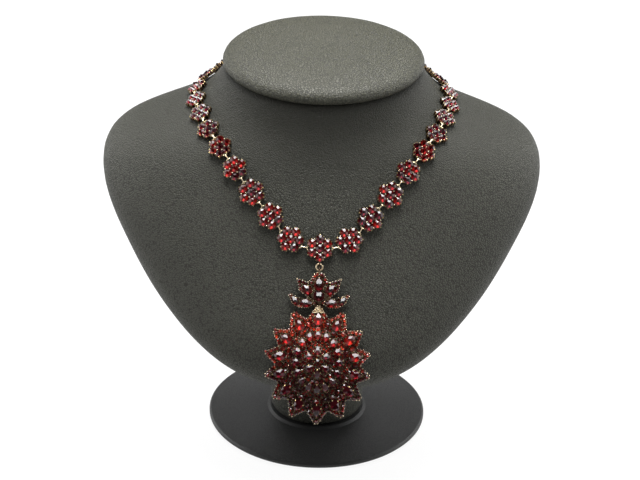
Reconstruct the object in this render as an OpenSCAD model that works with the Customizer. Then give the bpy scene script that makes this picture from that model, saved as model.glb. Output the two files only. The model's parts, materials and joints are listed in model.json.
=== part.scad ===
// Garnet necklace of graduated rosette links with a star pendant, on a neck bust.
// Millimetres, +Z up, front towards -Y. The origin is the centre of the foot's underside.

/* [Bust] */
// Width over the shoulders
bust_w = 218; // [214:1:222]
// Diameter of the foot
foot_d = 111; // [100:1:120]
// Diameter of the stem where it meets the foot
stem_d = 48; // [44:1:54]
// Thickness of the padded cap at its rim
cap_h = 7.5; // [6:0.5:10]

/* [Links] */
// Width of the largest rosette, over its settings
link_w = 13.2; // [13:0.1:13.4]
// Width of the smallest rosette, at the back of the neck
back_link_w = 9.7; // [9.5:0.1:9.9]
// Number of rosettes on each side of the centre one
side_links = 15; // [15:1:15]
// Open space between two neighbouring rosettes
link_gap = 1.3; // [1.2:0.1:1.4]
// Thickness of the wire of a jump ring
wire_d = 0.5; // [0.45:0.05:0.55]

/* [Rosette] */
// Thickness of the plate under the stones
plate_t = 0.8; // [0.6:0.1:1]
// Height of the collet walls above the plate
collet_h = 0.7; // [0.5:0.1:0.9]
// Height of a round stone from its girdle to its table
stone_h = 1.7; // [1.4:0.1:2]
// Clearance of a stone in its seat
seat_gap = 0.12; // [0.1:0.01:0.15]

/* [Pendant] */
// Width of the star over its points
star_w = 50.2; // [48:0.2:52]
// Height of the star over its points
star_h = 56; // [55:0.2:57]
// Number of points of the star
star_points = 14; // [14:1:14]
// Number of stones round the middle tier
tier_stones = 16; // [14:1:16]
// Distance from the pendant's ring down to the middle of the star
star_drop = 46.1; // [45.5:0.1:46.5]
// Angle between the hanging pendant and the vertical
pendant_lean = 25.5; // [25:0.1:28]

/* [Hidden] */
$fn = 32;

gilt = [0.76, 0.62, 0.36];
garnet = [0.55, 0.03, 0.05];
leatherette = [0.24, 0.24, 0.22];

// Sections of the bust: height, half width, front, widest line, back, roundness in front,
// roundness behind, tilt. Front, widest line and back are distances forward of the foot's
// centre, and the tilt is the rise of the section for each millimetre towards the back.
half_w = bust_w / 218;
BUST = [
    [51, 20 * half_w, 64, 56, 47, 2.0, 2.0, 0],
    [54, 33 * half_w, 71, 52, 38, 2.0, 2.0, 0],
    [59, 46 * half_w, 76, 47, 28, 2.1, 2.2, 0],
    [66, 58.5 * half_w, 77.5, 38, 16, 2.2, 2.4, 0],
    [76, 71 * half_w, 75.5, 29, 5, 2.2, 2.6, 0],
    [90, 84.5 * half_w, 69, 17, -8, 2.2, 2.8, 0],
    [108, 97 * half_w, 59.5, 4, -22, 2.2, 2.8, 0],
    [124, 106 * half_w, 50.5, -7, -34, 2.2, 2.8, 0],
    [138, 109 * half_w, 42.5, -16, -44, 2.2, 2.8, 0],
    [149, 105.2 * half_w, 36, -22, -51, 2.2, 2.6, 0],
    [157, 94 * half_w, 31.5, -26, -56, 2.1, 2.4, 0],
    [163, 77 * half_w, 28.5, -27, -60, 2.0, 2.2, 0.01],
    [168, 64 * half_w, 26.5, -25, -62, 2.0, 2.0, 0.03],
    [175, 54.5 * half_w, 24.5, -22, -63, 2.0, 2.0, 0.06],
    [181, 50.5 * half_w, 23.5, -20, -62.5, 2.0, 2.0, 0.09],
    [186, 48.5 * half_w, 23, -20, -62, 2.0, 2.0, 0.1]];
neck_y = 20;                       // the neck's axis, behind the foot's centre
top_row = BUST[len(BUST) - 1];
section_sides = 44;
seat_h = 5;                        // top of the foot, where the stem stands

// Where the chain lies on the bust: angle round the section from the front, height, lift
// of a link's back off the surface.
DRAPE = [
    [0, 121.5, 0.4], [6, 124.7, 0.4], [11, 134.5, 0.4], [16, 143.9, 0.4], [22, 152.2, 0.5],
    [32, 158.9, 0.5], [47, 163.7, 0.6], [63, 167, 0.9], [80, 168.8, 0.8], [98, 170.4, 0.7],
    [120, 172.5, 0.6], [150, 174.5, 0.5], [180, 175, 0.5]];
drape_step = 1.5;

// Smooth curve through one column of a table, whose first column rises.
function row_of(t, x, i = 0) = i >= len(t) - 2 || x < t[i + 1][0] ? i : row_of(t, x, i + 1);
function slope(t, i, c) =
    let (a = max(i - 1, 0), b = min(i + 1, len(t) - 1)) (t[b][c] - t[a][c]) / (t[b][0] - t[a][0]);
function column(t, x, c) =
    let (i = row_of(t, x), h = t[i + 1][0] - t[i][0], u = (x - t[i][0]) / h, v = u * u)
    (2 * v * u - 3 * v + 1) * t[i][c] + (v * u - 2 * v + u) * h * slope(t, i, c)
    + (3 * v - 2 * v * u) * t[i + 1][c] + (v * u - v) * h * slope(t, i + 1, c);

// A point of the bust's surface, at an angle round the section and a height.
function bust_point(angle, z) =
    let (c = cos(angle), s = sin(angle), front = c >= 0,
         mid = column(BUST, z, 3),
         reach = front ? column(BUST, z, 2) - mid : mid - column(BUST, z, 4),
         power = 2 / column(BUST, z, front ? 5 : 6),
         y = -mid - reach * sign(c) * pow(abs(c), power))
    [column(BUST, z, 1) * sign(s) * pow(abs(s), power), y, z + column(BUST, z, 7) * (y - neck_y)];

function unit(v) = v / norm(v);
function bust_normal(angle, z) =
    let (d = 0.5)
    unit(cross(bust_point(angle + d, z) - bust_point(angle - d, z),
               bust_point(angle, z + d) - bust_point(angle, z - d)));

// The chain's line on the right side, as points with the distance along it.
drape_angles = [for (a = [0 : drape_step : 180]) a];
function drape_point(a) =
    let (z = column(DRAPE, a, 1)) bust_point(a, z) + column(DRAPE, a, 2) * bust_normal(a, z);
drape_line = [for (a = drape_angles) drape_point(a)];
function running(line, i = 0, sum = 0) =
    i >= len(line) ? [] :
    let (s = sum + (i == 0 ? 0 : norm(line[i] - line[i - 1]))) concat([s], running(line, i + 1, s));
drape_run = running(drape_line);
half_loop = drape_run[len(drape_run) - 1];
function run_row(s, i = 0) = i >= len(drape_run) - 2 || s < drape_run[i + 1] ? i : run_row(s, i + 1);
function angle_at(s) =
    let (i = run_row(s)) drape_angles[i]
        + drape_step * (s - drape_run[i]) / (drape_run[i + 1] - drape_run[i]);

// Widths of the rosettes: four large ones, then smaller and smaller towards the back.
function width_of(i) = i <= 3 ? link_w : max(back_link_w, link_w - 1 - (i - 4) * 0.35);
function place_of(i) = i == 0 ? 0 : place_of(i - 1) + (width_of(i - 1) + width_of(i)) / 2 + link_gap;

// A frame is an origin and three axes. A rosette's X runs along the chain, its Z outwards.
function flip_x(v) = [-v[0], v[1], v[2]];
function link_frame(i, side) =
    let (a = angle_at(place_of(i)), step = i == 0 ? 0.8 : 4,
         o = drape_point(a), up = bust_normal(a, column(DRAPE, a, 1)),
         t = i == 0 ? [1, 0, 0] : unit(drape_point(min(a + step, 180)) - drape_point(a - step)),
         n = unit(up - (up * t) * t))
    side > 0 ? [o, t, cross(n, t), n]
             : [flip_x(o), flip_x(t), cross(flip_x(n), flip_x(t)), flip_x(n)];
function to_world(f, p) = f[0] + p[0] * f[1] + p[1] * f[2] + p[2] * f[3];
module at_frame(f) {
    multmatrix([[f[1][0], f[2][0], f[3][0], f[0][0]], [f[1][1], f[2][1], f[3][1], f[0][1]],
                [f[1][2], f[2][2], f[3][2], f[0][2]], [0, 0, 0, 1]]) children();
}

// Closed skin over rings of equal length, from the lowest to the highest.
function mean(ps, i = 0) = i >= len(ps) ? [0, 0, 0] : ps[i] / len(ps) + mean(ps, i + 1);
module loft(rings) {
    n = len(rings[0]);
    m = len(rings);
    low = n * m;
    polyhedron(
        points = concat([for (r = rings) for (p = r) p], [mean(rings[0]), mean(rings[m - 1])]),
        faces = concat(
            [for (i = [0 : n - 1]) [low, i, (i + 1) % n]],
            [for (k = [0 : m - 2]) for (i = [0 : n - 1])
                let (a = k * n + i, b = k * n + (i + 1) % n) [a, a + n, b + n]],
            [for (k = [0 : m - 2]) for (i = [0 : n - 1])
                let (a = k * n + i, b = k * n + (i + 1) % n) [a, b + n, b]],
            [for (i = [0 : n - 1]) [low + 1, n * (m - 1) + (i + 1) % n, n * (m - 1) + i]]));
}

// Parts of the bust

function bust_ring(z) = [for (i = [0 : section_sides - 1]) bust_point(360 * i / section_sides, z)];
bust_levels = concat(
    [for (i = [0 : len(BUST) - 2]) for (u = [0, 0.5]) BUST[i][0] * (1 - u) + BUST[i + 1][0] * u],
    [top_row[0]]);

module stem() {
    top_r = 19;
    hull() {
        translate([0, 0, seat_h]) cylinder(h = 1, d = stem_d);
        translate([0, -6, 24]) cylinder(h = 1, d = stem_d - 2);
        translate([0, -28, 80]) cylinder(h = 1, r = top_r);
    }
}

module bust_body() {
    color(leatherette) union() {
        loft([for (z = bust_levels) bust_ring(z)]);
        stem();
    }
}

// Rim of the cap: how far it stands in from its widest line, at each share of its thickness.
CAP_RIM = [[0, 2.4], [0.12, 0.7], [0.32, 0], [0.6, 0.8], [0.82, 2.8], [0.95, 6]];
cap_grow = 1.3;                    // the cap is this much wider than the neck all round
cap_crown = 2;                     // rise of its middle over its rim
module neck_cap() {
    a = top_row[1] + cap_grow;
    b = (top_row[2] - top_row[4]) / 2 + cap_grow;
    tilt = atan(top_row[7]);
    yc = -(top_row[2] + top_row[4]) / 2;
    zc = top_row[0] + top_row[7] * (yc - neck_y) + 0.05;
    function cap_ring(inset, z) =
        [for (i = [0 : section_sides - 1]) let (t = 360 * i / section_sides)
            [(a - inset) * sin(t), -(b - inset) * cos(t), z]];
    color(leatherette) translate([0, yc, zc]) rotate([tilt, 0, 0])
        loft(concat([for (r = CAP_RIM) cap_ring(r[1], cap_h * r[0])],
                    [cap_ring(16, cap_h + cap_crown * 0.6), cap_ring(30, cap_h + cap_crown)]));
}

module bust_foot() {
    rim_h = 2.8;
    color(leatherette) rotate_extrude($fn = 96)
        polygon([[0, 0], [foot_d / 2 - 1, 0], [foot_d / 2, 1], [foot_d / 2, rim_h - 0.8],
                 [foot_d / 2 - 0.8, rim_h], [stem_d / 2 + 1.5, 4.1], [stem_d / 2, seat_h],
                 [0, seat_h]]);
}

// Stones

// A cut stone: girdle outline below, table above, a band of triangular facets between.
// Its frame's origin is the middle of the girdle.
function stone_points(f, outline, h, table) =
    let (n = len(outline))
    concat([for (p = outline) to_world(f, [p[0], p[1], 0])],
           [for (i = [0 : n - 1]) let (p = (outline[i] + outline[(i + 1) % n]) / 2)
               to_world(f, [p[0] * table, p[1] * table, h])]);
function stone_faces(n, first) =
    concat([[for (i = [0 : n - 1]) first + i]],
           [for (i = [0 : n - 1]) [first + i, first + n + i, first + (i + 1) % n]],
           [for (i = [0 : n - 1])
               [first + (i + 1) % n, first + n + i, first + n + (i + 1) % n]],
           [[for (i = [n - 1 : -1 : 0]) first + n + i]]);
function round_outline(r) = [for (i = [0 : 7]) r * [cos(45 * i), sin(45 * i)]];
// A drop with its point towards +Y, as long and as wide as given.
function drop_outline(l, w) =
    [[0, l / 2], [-w * 0.27, l * 0.22], [-w * 0.46, -l * 0.05], [-w * 0.5, -l * 0.25],
     [-w * 0.3, -l * 0.45], [0, -l / 2], [w * 0.3, -l * 0.45], [w * 0.5, -l * 0.25],
     [w * 0.46, -l * 0.05], [w * 0.27, l * 0.22]];
// A list of stones, each given as its frame, outline, height and table.
module stones(list) {
    function first_of(k) = k == 0 ? 0 : first_of(k - 1) + 2 * len(list[k - 1][1]);
    color(garnet) polyhedron(
        points = [for (s = list) for (p = stone_points(s[0], s[1], s[2], s[3])) p],
        faces = [for (k = [0 : len(list) - 1])
            for (f = stone_faces(len(list[k][1]), first_of(k))) f]);
}
function shift(f, p) = [to_world(f, p), f[1], f[2], f[3]];

// Rosette links

stone_share = 0.15;                // radius of a stone, as a share of the rosette's width
collet_share = 0.175;              // radius of a collet
ring_share = 0.325;                // radius of the circle of outer stones
function seats(w) =
    concat([[0, 0]], [for (k = [0 : 5]) w * ring_share * [cos(30 + 60 * k), sin(30 + 60 * k)]]);
lug_r = 1;
lug_hole_r = 0.57;
lug_t = 0.35;
lug_z = 1.0;                       // height of the middle of a lug over the plate's back
lug_share = 0.412;                 // distance of a lug from the rosette's middle
function lug_place(w) = w * lug_share;
loop_r = 1.2;                      // the upright loop that holds the pendant's ring
loop_hole_r = 0.65;
loop_t = 0.5;
loop_drop = 0.75;                  // from the rosette's edge down to the loop's middle

loop_z = 1.3;                      // its height over the plate's back

module seat_discs(w, r) {
    for (p = seats(w)) translate(p) circle(r = r);
}
module rosette(w, hangs = false) {
    collet_r = w * collet_share;
    hole_r = w * stone_share + seat_gap;
    color(gilt) difference() {
        union() {
            linear_extrude(plate_t + collet_h) seat_discs(w, collet_r);
            for (s = [-1, 1]) translate([s * lug_place(w), 0, lug_z - lug_t / 2])
                cylinder(h = lug_t, r = lug_r);
            if (hangs) translate([-loop_t / 2, -w / 2 - loop_drop, loop_z])
                rotate([0, 90, 0]) cylinder(h = loop_t, r = loop_r);
        }
        translate([0, 0, plate_t]) linear_extrude(collet_h + 1) seat_discs(w, hole_r);
        for (s = [-1, 1]) translate([s * lug_place(w), 0, -1]) cylinder(h = 4, r = lug_hole_r);
        if (hangs) translate([-1, -w / 2 - loop_drop, loop_z])
            rotate([0, 90, 0]) cylinder(h = 2, r = loop_hole_r);
    }
}

stoned_links = 8;                  // rosettes on each side whose stones are cut here
function rosette_stones(i, side) =
    let (f = link_frame(i, side), w = width_of(i))
    [for (p = seats(w))
        [shift(f, [p[0], p[1], plate_t + 0.1]), round_outline(w * stone_share), stone_h, 0.5]];

// Jump rings between neighbouring lugs, and on both sides of the clasp.

// Oval ring of wire whose ends are at points a and b, standing along n. Its frame is at the
// middle.
ring_sides = 6;
ring_half_h = 0.9;
function ring_frame(a, b, n) =
    let (x = unit(b - a), z = unit(n - (n * x) * x)) [(a + b) / 2, x, cross(z, x), z];
function ring_line(half) =
    [for (e = [0, 180]) for (t = [-90, -30, 30, 90])
        let (c = cos(t + e), s = sin(t + e), x = (half - ring_half_h) * (e == 0 ? 1 : -1))
            [[x + ring_half_h * c, ring_half_h * s], [c, s]]];
function ring_points(f, half) =
    [for (q = ring_line(half)) for (k = [0 : ring_sides - 1])
        let (t = 360 * k / ring_sides, r = wire_d / 2, c = r * cos(t))
            to_world(f, [q[0][0] + q[1][0] * c, r * sin(t), q[0][1] + q[1][1] * c])];
function ring_faces(first, n = 8, m = ring_sides) =
    [for (i = [0 : n - 1]) for (k = [0 : m - 1])
        let (a = first + i * m + k, b = first + i * m + (k + 1) % m,
             c = first + ((i + 1) % n) * m + (k + 1) % m, d = first + ((i + 1) % n) * m + k)
            [d, c, b, a]];

clasp_half = half_loop - place_of(side_links) - lug_place(width_of(side_links)) - 2.4;
clasp_frame = link_frame_at_back();
function link_frame_at_back() =
    let (n = bust_normal(180, column(DRAPE, 180, 1)), t = [-1, 0, 0])
    [drape_point(180), t, cross(n, t), n];

function lug_of(i, side, way) =
    to_world(link_frame(i, side), [way * lug_place(width_of(i)), 0, lug_z]);
function joint_rings(side) =
    [for (i = [0 : side_links - 1])
        let (a = i == 0 ? flip_lug(side) : lug_of(i, side, 1), b = lug_of(i + 1, side, -1),
             n = link_frame(i, side)[3] + link_frame(i + 1, side)[3])
            [ring_frame(a, b, n), norm(b - a) / 2]];
function flip_lug(side) = to_world(link_frame(0, 1), [side * lug_place(width_of(0)), 0, lug_z]);
function clasp_ring(side) =
    let (a = lug_of(side_links, side, 1),
         b = to_world(clasp_frame, [-side * clasp_half, 0, lug_z]))
    [ring_frame(a, b, link_frame(side_links, side)[3] + clasp_frame[3]), norm(b - a) / 2];

module jump_rings() {
    rings = concat(joint_rings(1), joint_rings(-1), [clasp_ring(1), clasp_ring(-1)]);
    count = 8 * ring_sides;
    color(gilt) polyhedron(
        points = [for (r = rings) for (p = ring_points(r[0], r[1])) p],
        faces = [for (k = [0 : len(rings) - 1]) for (f = ring_faces(k * count)) f]);
}

// Flat box clasp with a lug at each end.
clasp_w = 4;
clasp_t = 2;
module clasp() {
    box_l = 2 * (clasp_half - lug_r + 0.3);
    color(gilt) at_frame(clasp_frame) difference() {
        union() {
            translate([0, 0, 0.1]) linear_extrude(clasp_t) square([box_l, clasp_w], center = true);
            for (s = [-1, 1]) translate([s * clasp_half, 0, lug_z - lug_t / 2])
                cylinder(h = lug_t, r = lug_r);
        }
        for (s = [-1, 1]) translate([s * clasp_half, 0, -1]) cylinder(h = 4, r = lug_hole_r);
    }
}

// Pendant. Its frame's origin is the middle of its ring, X to the right, Y up the pendant
// and Z out of its face.

ring_r = 1.55;
ring_wire_r = 0.35;
hinge_point = to_world(link_frame(0, 1), [0, -link_w / 2 - loop_drop, loop_z]);
pendant_up = [0, sin(pendant_lean), cos(pendant_lean)];
pendant_out = [0, -cos(pendant_lean), sin(pendant_lean)];
pendant_frame = [hinge_point - ring_r * pendant_up, [1, 0, 0], pendant_up, pendant_out];

back_z = -0.1;                     // back of the crown and of the bar
crown_z = 1.1;                     // front of the crown and the wings
pocket = 0.5;                      // depth of a stone's seat in them
star_back = 0.5;                   // back of the star, which lies on the bar

CROWN = [[2.6, -3.4], [4.6, -7.2], [10.7, -5.2], [9.4, -11], [5.2, -14.6], [2.6, -16.4]];
WING = [[1.5, -14.6], [6.2, -14.9], [10.4, -14.2], [13.4, -12.4], [14.4, -13.4], [12.8, -17],
        [9.4, -19.2], [5.6, -19.4], [1.5, -17.3]];
function mirrored(list) =
    concat(list, [for (i = [len(list) - 1 : -1 : 0]) [-list[i][0], list[i][1]]]);
// Stones of the crown: place, turn from upright, length, width.
CROWN_DROPS = [[[0, -8], 0, 5.2, 4], [[-5.6, -10.6], 48, 5, 3.4], [[5.6, -10.6], -48, 5, 3.4],
               [[-6.2, -17], 80, 5.2, 3.4], [[6.2, -17], -80, 5.2, 3.4],
               [[-11.1, -16], 42, 4.4, 2.8], [[11.1, -16], -42, 4.4, 2.8]];
crown_round = [0, -13.6];
crown_round_r = 2.5;

module crown_setting() {
    color(gilt) at_frame(pendant_frame) difference() {
        union() {
            translate([0, 0, back_z]) linear_extrude(crown_z - back_z) {
                polygon(mirrored(concat([[0.7, -2.2]], CROWN)));
                polygon(mirrored(WING));
            }
            translate([-2.4, -36, back_z]) cube([4.8, 22, star_back - 0.02 - back_z]);
            translate([-loop_t / 2, -ring_r, 0]) rotate([0, 90, 0])
                cylinder(h = loop_t, r = loop_r);
        }
        for (d = CROWN_DROPS) translate([d[0][0], d[0][1], crown_z - pocket])
            rotate(d[1]) linear_extrude(2)
                polygon(drop_outline(d[2] + 2 * seat_gap + 0.3, d[3] + 2 * seat_gap + 0.04));
        translate([crown_round[0], crown_round[1], crown_z - pocket])
            cylinder(h = 2, r = crown_round_r + seat_gap);
        translate([-1, -ring_r, 0]) rotate([0, 90, 0]) cylinder(h = 2, r = loop_hole_r);
    }
}

module pendant_ring() {
    color(gilt) at_frame(pendant_frame) rotate_extrude($fn = 48)
        translate([ring_r, 0]) circle(r = ring_wire_r, $fn = 20);
}

// Turns that space points evenly along the star's oval, in degrees from its top.
function even_turn(t) = t + 4.2 * sin(2 * t);
// A point of an oval round the star's middle. "up" lifts it along the pendant.
function oval(t, a, b, up = 0) = [a * sin(t), b * cos(t) - star_drop + up];
tier_up = 1.6;                     // the raised tiers sit this much above the star's middle

// Outline with a point at each turn, flat by "flat" millimetres, and a valley between.
function pointed(n, a, b, depth, flat, up, round_even) =
    [for (i = [0 : n - 1])
        let (t = 360 * i / n, e = round_even ? even_turn(t) : t,
             v = round_even ? even_turn(t + 180 / n) : t + 180 / n, tip = oval(e, a, b, up),
             side = unit([cos(e) * a, -sin(e) * b]))
        each [tip - side * flat / 2, tip + side * flat / 2, oval(v, a * depth, b * depth, up)]];
function at_height(outline, z) = [for (p = outline) to_world(pendant_frame, [p[0], p[1], z])];
function clockwise(list) = [for (i = [len(list) - 1 : -1 : 0]) list[i]];
// Domed plate: its outline from the back up to the rim, then up to a smaller flat oval.
module domed_plate(outline, inner, back, rim, top) {
    color(gilt) loft([at_height(clockwise(outline), back), at_height(clockwise(outline), rim),
                      at_height(clockwise(inner), top)]);
}
function inner_oval(n, a, b, up, round_even) =
    [for (i = [0 : n - 1]) for (k = [-0.25, 0.25, 0.5])
        let (t = 360 * (i + k) / n) oval(round_even ? even_turn(t) : t, a, b, up)];

star_rim = star_back + 1;
star_top = star_back + 3.3;
star_a = star_w / 2;
star_b = star_h / 2;
star_flat = [12.4, 15];            // half width and half height of the flat middle
module star_plate() {
    domed_plate(pointed(star_points, star_a, star_b, 0.8, 1.5, 0, true),
                inner_oval(star_points, star_flat[0], star_flat[1], tier_up / 2, true),
                star_back, star_rim, star_top);
}
tier_a = 13;
tier_b = 15.6;
tier_rim = star_top + 0.9;
tier_top = star_top + 2.2;
module middle_tier() {
    domed_plate(pointed(tier_stones, tier_a, tier_b, 0.87, 0.8, tier_up, false),
                inner_oval(tier_stones, 6.6, 8.8, tier_up, false),
                star_top + 0.02, tier_rim, tier_top);
}
top_a = 7;
top_b = 8.4;
top_rim = tier_top + 0.7;
top_top = tier_top + 1.6;
module top_tier() {
    domed_plate(pointed(6, top_a, top_b, 0.84, 2.2, tier_up, false),
                inner_oval(6, 2.2, 2.8, tier_up, false),
                tier_top + 0.02, top_rim, top_top);
}

// Frame of a drop stone that lies on a dome's slope: place, turn from upright, height and
// fall of the slope in degrees.
function drop_frame(p, turn, z, fall) =
    let (f = pendant_frame,
         out = cos(turn) * f[2] + sin(turn) * f[1], side = cos(turn) * f[1] - sin(turn) * f[2],
         y = cos(fall) * out - sin(fall) * f[3], n = cos(fall) * f[3] + sin(fall) * out)
    [to_world(f, [p[0], p[1], z]), side, y, n];
function turn_of(v) = atan2(v[0], v[1]);
// The same frame with its point towards the middle of the dome.
function turned(f) = [f[0], -f[1], -f[2], f[3]];
// Height of a dome's slope at a share of the way from the inner oval to the points.
function slope_z(rim, top, share) = top + (rim - top) * share;

petal_a = 18.2;
petal_b = 21.6;
star_fall = 11;
module petal_stones() {
    stones([for (i = [0 : star_points - 1])
        let (e = even_turn(360 * i / star_points), p = oval(e, petal_a, petal_b),
             tip = oval(e, star_a, star_b),
             share = norm(p - oval(e, star_flat[0], star_flat[1], tier_up / 2))
                     / norm(tip - oval(e, star_flat[0], star_flat[1], tier_up / 2)))
        [drop_frame(p, turn_of(tip - p), slope_z(star_rim, star_top, share) + 0.75, star_fall),
         drop_outline(5.8, 4), 1.7, 0.5]]);
}
ring_a = 10.1;
ring_b = 12.6;
module tier_stones_ring() {
    stones([for (i = [0 : tier_stones - 1])
        let (t = 360 * i / tier_stones, p = oval(t, ring_a, ring_b, tier_up),
             tip = oval(t, tier_a, tier_b, tier_up))
        [turned(drop_frame(p, turn_of(tip - p), slope_z(tier_rim, tier_top, 0.54) + 0.6, 14)),
         drop_outline(4.3, 3.3), 1.4, 0.5]]);
}
module top_stones() {
    six = [for (t = [0 : 60 : 300])
        let (p = oval(t, 4.5, 5.4, tier_up), tip = oval(t, top_a, top_b, tier_up))
        [turned(drop_frame(p, turn_of(tip - p), slope_z(top_rim, top_top, 0.5) + 0.5, 12)),
         drop_outline(4.2, 3), 1.4, 0.5]];
    apex = [[drop_frame(oval(0, 0, 0, tier_up + 0.6), 0, top_top + 0.1, 0),
             round_outline(1.25), 1.3, 0.5]];
    stones(concat(six, apex));
}
module crown_stones() {
    z = crown_z - pocket + 0.1;
    stones(concat(
        [for (d = CROWN_DROPS)
            [drop_frame(d[0], -d[1], z, 0), drop_outline(d[2], d[3]), stone_h, 0.5]],
        [[drop_frame(crown_round, 0, z, 0), round_outline(crown_round_r), stone_h + 0.3, 0.5]]));
}

module rosette_stones_right() {
    stones([for (i = [0 : stoned_links]) for (s = rosette_stones(i, 1)) s]);
}
module rosette_stones_left() {
    stones([for (i = [1 : stoned_links]) for (s = rosette_stones(i, -1)) s]);
}

bust_body();
neck_cap();
bust_foot();
at_frame(link_frame(0, 1)) rosette(width_of(0), true);  // rosette_centre
for (i = [1 : side_links]) {
    at_frame(link_frame(i, 1)) rosette(width_of(i));
    at_frame(link_frame(i, -1)) rosette(width_of(i));
}
clasp();
jump_rings();
rosette_stones_right();
rosette_stones_left();
pendant_ring();
crown_setting();
star_plate();
middle_tier();
top_tier();
crown_stones();
petal_stones();
tier_stones_ring();
top_stones();
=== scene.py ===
# %% [markdown]
# # A garnet necklace on a neck bust
#
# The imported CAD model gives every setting, link and stone its place. This lesson dresses
# it: a leatherette skin over the bust, cut stones, claws, beaded rims, the finest stones,
# and the studio that lights them. Two helpers put what is made into the scene.

import json
import math
import random

import bmesh
import bpy
import numpy as np
from mathutils import Matrix, Vector
from mathutils.bvhtree import BVHTree

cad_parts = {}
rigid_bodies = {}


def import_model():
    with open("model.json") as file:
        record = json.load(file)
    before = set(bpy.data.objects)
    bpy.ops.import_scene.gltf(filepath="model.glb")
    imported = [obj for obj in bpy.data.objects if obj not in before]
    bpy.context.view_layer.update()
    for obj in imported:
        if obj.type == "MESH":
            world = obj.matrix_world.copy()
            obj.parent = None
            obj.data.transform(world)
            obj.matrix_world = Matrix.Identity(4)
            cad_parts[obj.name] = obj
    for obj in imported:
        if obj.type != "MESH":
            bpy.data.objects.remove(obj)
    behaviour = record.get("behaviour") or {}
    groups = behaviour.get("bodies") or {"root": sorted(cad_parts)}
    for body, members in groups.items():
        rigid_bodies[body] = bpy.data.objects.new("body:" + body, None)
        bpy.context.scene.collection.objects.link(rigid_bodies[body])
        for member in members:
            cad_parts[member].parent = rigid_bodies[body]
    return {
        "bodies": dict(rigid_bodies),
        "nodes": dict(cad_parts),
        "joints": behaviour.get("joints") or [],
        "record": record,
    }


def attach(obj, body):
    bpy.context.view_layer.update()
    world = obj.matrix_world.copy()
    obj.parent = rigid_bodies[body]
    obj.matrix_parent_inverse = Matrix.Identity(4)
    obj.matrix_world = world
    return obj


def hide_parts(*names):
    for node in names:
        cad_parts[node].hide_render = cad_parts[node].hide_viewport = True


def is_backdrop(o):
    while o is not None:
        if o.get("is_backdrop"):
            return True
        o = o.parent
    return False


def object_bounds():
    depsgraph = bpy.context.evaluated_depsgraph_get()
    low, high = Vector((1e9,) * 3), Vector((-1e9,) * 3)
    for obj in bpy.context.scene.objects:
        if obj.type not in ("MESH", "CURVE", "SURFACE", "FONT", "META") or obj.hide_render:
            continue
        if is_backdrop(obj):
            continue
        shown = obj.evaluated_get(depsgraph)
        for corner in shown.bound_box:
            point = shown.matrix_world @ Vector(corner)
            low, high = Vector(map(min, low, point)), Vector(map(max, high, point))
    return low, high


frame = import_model()
cad_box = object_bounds()
nodes = frame["nodes"]
scene = bpy.context.scene
MM = 0.001


# %% Put things into the scene
def add_object(name, data):
    """Makes an object and puts it into the scene."""
    thing = bpy.data.objects.new(name, data)
    scene.collection.objects.link(thing)
    return thing


def into_mesh(bm, name):
    """Turns a bmesh into a mesh and frees it."""
    mesh = bpy.data.meshes.new(name)
    bm.to_mesh(mesh)
    bm.free()
    return mesh


print("helpers: add_object, into_mesh")

# %% [markdown]
# ## The camera
#
# The camera stands a metre from the chest and looks down on it by 27 degrees. The bust
# leans a little in the picture, so the camera is rolled by the same angle.

# %% Place the camera
LOOK_DOWN = math.radians(27)
LEAN = math.radians(1.2)

aim = Vector((0, -0.055, 0.1275))
eye = aim + Vector((0, -math.cos(LOOK_DOWN), math.sin(LOOK_DOWN)))
camera = add_object("camera", bpy.data.cameras.new("camera"))
camera.data.lens = 119.7
camera.data.sensor_width = 36
roll = Matrix.Rotation(LEAN, 4, "Z")
look = (aim - eye).to_track_quat("-Z", "Y").to_matrix().to_4x4()
camera.matrix_world = Matrix.Translation(eye) @ look @ roll
scene.camera = camera
scene.view_settings.view_transform = "Standard"
print("camera at", [round(v, 3) for v in eye])

# %% [markdown]
# ## Shader helpers
#
# A finish is easier to read as arithmetic than as a list of links. `Flow` wraps the
# output of a node, and `a * b + 1` on two of them adds the Math nodes. Other nodes come
# from `Finish.node`.


# %% Wrap a socket
class Flow:
    """A number that flows from one node to the next."""

    def __init__(self, finish, socket):
        self.finish = finish
        self.socket = socket

    def _math(self, operation, *values):
        sockets = dict(enumerate(values))
        return self.finish.node("Math", {"operation": operation}, sockets)

    def __add__(self, other):
        return self._math("ADD", self, other)

    def __sub__(self, other):
        return self._math("SUBTRACT", self, other)

    def __rsub__(self, other):
        return self._math("SUBTRACT", other, self)

    def __mul__(self, other):
        return self._math("MULTIPLY", self, other)

    __radd__, __rmul__ = __add__, __mul__


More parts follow.
